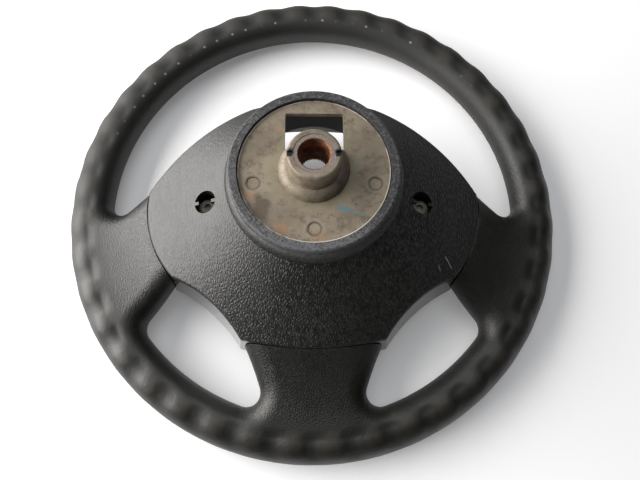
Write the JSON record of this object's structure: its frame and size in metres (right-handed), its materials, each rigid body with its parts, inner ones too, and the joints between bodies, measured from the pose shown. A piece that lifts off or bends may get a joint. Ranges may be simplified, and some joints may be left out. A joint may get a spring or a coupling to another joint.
{
  "type": "steering wheel",
  "caption": "Car steering wheel with its airbag module taken out: foam grip with finger waves on a cast armature, splined hub bush and a grained plastic rear cover with a raised collar.",
  "frame": {"origin": "on the column axis, in the plane that the driver's side of the rim rests on", "axes": "+Z along the column axis from the driver's side to the column side, +Y to twelve o'clock, +X to the right as seen from the column side"},
  "size_m": [0.38, 0.38, 0.1174],
  "materials": {
    "casting": "as cast, dull and stained",
    "bush_steel": "rusted",
    "foam": "satin, worn shiny on the grip",
    "cover_plastic": "leather grain, matte",
    "bolt_steel": "zinc plated, dull",
    "screw_steel": "zinc plated, dull"
  },
  "bodies": {
    "root": {"armature": "casting", "hub_bush": "bush_steel", "foam_rim": "foam", "rear_cover": "cover_plastic", "module_bolts": "bolt_steel", "cover_screws": "screw_steel"}
  },
  "joints": []
}
